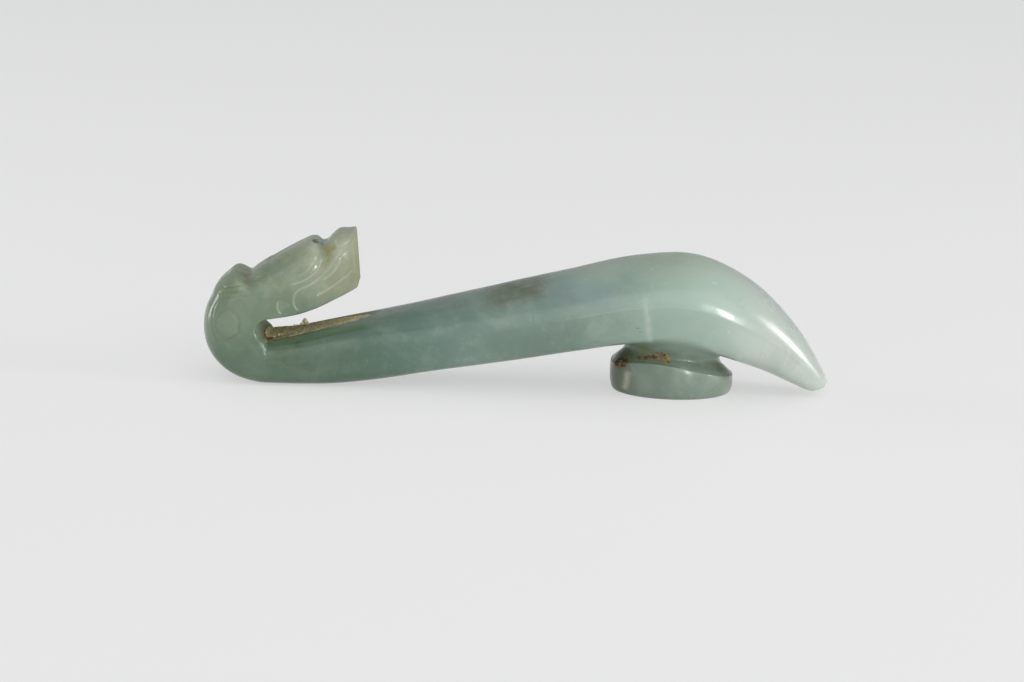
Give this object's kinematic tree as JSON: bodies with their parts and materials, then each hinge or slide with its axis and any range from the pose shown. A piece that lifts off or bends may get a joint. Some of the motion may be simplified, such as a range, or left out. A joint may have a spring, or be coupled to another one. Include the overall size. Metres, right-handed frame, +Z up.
{
  "type": "belt hook",
  "caption": "Carved jade belt hook: a dragon head turned back over a curved tapering shaft, a pointed tail, and an oval button on a short stem below.",
  "frame": {"origin": "centre of the button's flat face, which stands on the ground plane together with the foot of the bend", "axes": "+X along the hook towards the pointed tail, +Y to the side away from the camera, +Z up, out of the button's face and through the stem to the hump"},
  "size_m": [0.1046, 0.0208, 0.0256],
  "materials": {
    "jade_head": "satin",
    "jade_bend": "gloss",
    "jade_shaft": "gloss",
    "jade_hump": "gloss",
    "jade_tail": "gloss",
    "jade_stem": "satin",
    "jade_button": "gloss"
  },
  "bodies": {
    "root": {"dragon_head": "jade_head", "neck_bend": "jade_bend", "shaft": "jade_shaft", "hump": "jade_hump", "tail": "jade_tail", "button_stem": "jade_stem", "button": "jade_button"}
  },
  "joints": []
}
